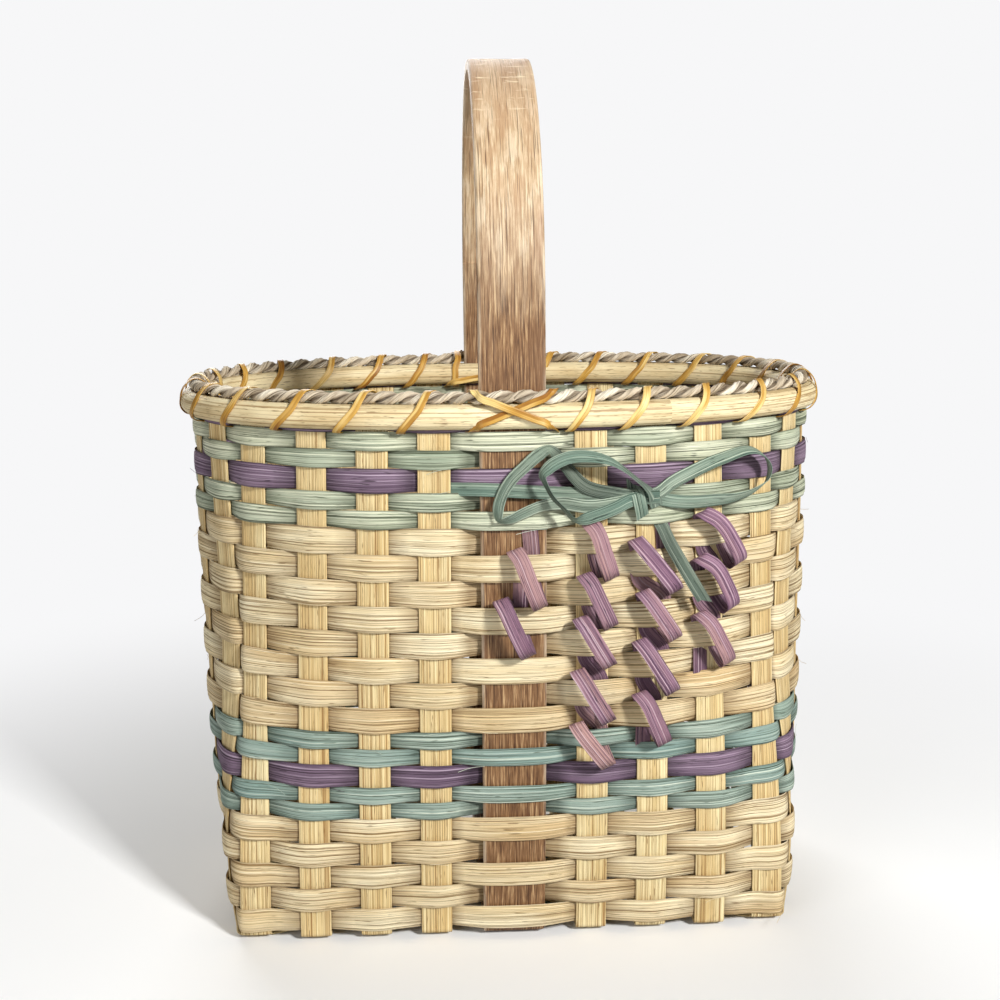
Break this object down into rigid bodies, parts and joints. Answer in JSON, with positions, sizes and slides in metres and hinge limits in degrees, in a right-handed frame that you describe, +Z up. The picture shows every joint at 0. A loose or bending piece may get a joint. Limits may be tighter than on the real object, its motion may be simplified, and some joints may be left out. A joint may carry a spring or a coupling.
{
  "type": "divided splint basket",
  "caption": "Oval splint basket on a rectangular woven base, with a woven divider, a fixed hoop handle, a lashed rim, dyed bands, reed curls and a reed bow.",
  "frame": {"origin": "centre of the base on the surface it stands on, under the handle", "axes": "+X to the right seen from the bow's side, +Y to the back, +Z up"},
  "size_m": [0.3434, 0.2369, 0.452],
  "materials": {
    "natural_reed": "natural flat reed, dry and matt",
    "stake_reed": "natural flat reed, slightly yellower",
    "green_reed": "flat reed dyed sage green",
    "plum_reed": "flat reed dyed plum",
    "curl_reed": "thin flat reed dyed mauve",
    "bow_reed": "thin flat reed dyed deep green",
    "rim_reed": "half round reed, natural",
    "seagrass": "twisted seagrass rope",
    "cane": "glossy cane binding",
    "oak": "bent oak board, stained and worn"
  },
  "bodies": {
    "root": {"weaver_row_00": "plum_reed", "weaver_row_01": "green_reed", "weaver_row_02": "green_reed", "weaver_row_03": "plum_reed", "weaver_row_04": "green_reed", "weaver_row_05": "green_reed", "weaver_row_06": "natural_reed", "weaver_row_07": "natural_reed", "weaver_row_08": "natural_reed", "weaver_row_09": "natural_reed", "weaver_row_10": "natural_reed", "weaver_row_11": "natural_reed", "weaver_row_12": "natural_reed", "weaver_row_13": "natural_reed", "weaver_row_14": "green_reed", "weaver_row_15": "green_reed", "weaver_row_16": "plum_reed", "weaver_row_17": "green_reed", "weaver_row_18": "green_reed", "weaver_row_19": "natural_reed", "weaver_row_20": "natural_reed", "weaver_row_21": "natural_reed", "weaver_row_22": "natural_reed", "weaver_row_23": "natural_reed", "stake_right_1": "stake_reed", "stake_right_2": "stake_reed", "stake_right_3": "stake_reed", "stake_right_4": "stake_reed", "stake_left_1": "stake_reed", "stake_left_2": "stake_reed", "stake_left_3": "stake_reed", "stake_left_4": "stake_reed", "cross_stake_1": "stake_reed", "cross_stake_2": "stake_reed", "cross_stake_3": "stake_reed", "cross_stake_4": "stake_reed", "cross_stake_5": "stake_reed", "handle_hoop": "oak", "rim_outer": "rim_reed", "rim_inner": "rim_reed", "rim_rope": "seagrass", "lashing_right": "cane", "lashing_left": "cane", "curls_1": "curl_reed", "curls_2": "curl_reed", "curls_3": "curl_reed", "curls_4": "curl_reed", "bow_ribbon_long": "bow_reed", "bow_ribbon_short": "bow_reed", "bow_band_and_tail": "bow_reed", "divider_stake_1": "stake_reed", "divider_stake_2": "stake_reed", "divider_stake_3": "stake_reed", "divider_stake_4": "stake_reed", "divider_post_front": "stake_reed", "divider_post_back": "stake_reed", "divider_weaver": "natural_reed", "divider_rail_right": "stake_reed", "divider_rail_left": "stake_reed"}
  },
  "joints": []
}
